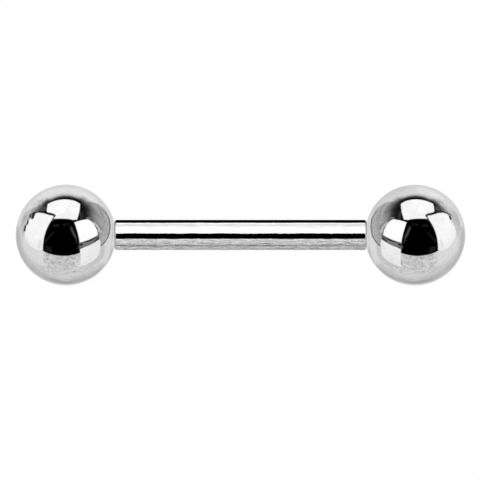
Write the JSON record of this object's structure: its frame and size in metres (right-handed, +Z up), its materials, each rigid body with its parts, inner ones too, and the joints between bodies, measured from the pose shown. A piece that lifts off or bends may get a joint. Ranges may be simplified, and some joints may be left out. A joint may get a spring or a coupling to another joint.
{
  "type": "straight barbell",
  "caption": "Straight round bar with a polished screw-on ball at each end, worn through a piercing.",
  "frame": {"origin": "middle of the bar, straight below it on the surface that the two balls rest on", "axes": "+X along the bar towards the right ball, +Z up, +Y away from the viewer"},
  "size_m": [0.0178, 0.004, 0.0039],
  "materials": {
    "bar_steel": "polished surgical steel with faint lengthwise polishing lines",
    "ball_steel": "mirror-polished surgical steel"
  },
  "bodies": {
    "bar": {"bar": "bar_steel"},
    "ball_left": {"ball_left": "ball_steel"},
    "ball_right": {"ball_right": "ball_steel"}
  },
  "joints": [
    {"name": "ball_left_off", "type": "slide", "parent": "bar", "child": "ball_left", "axis": [-1, 0, 0], "range_m": [0, 0.003]},
    {"name": "ball_right_off", "type": "slide", "parent": "bar", "child": "ball_right", "axis": [1, 0, 0], "range_m": [0, 0.003]}
  ]
}
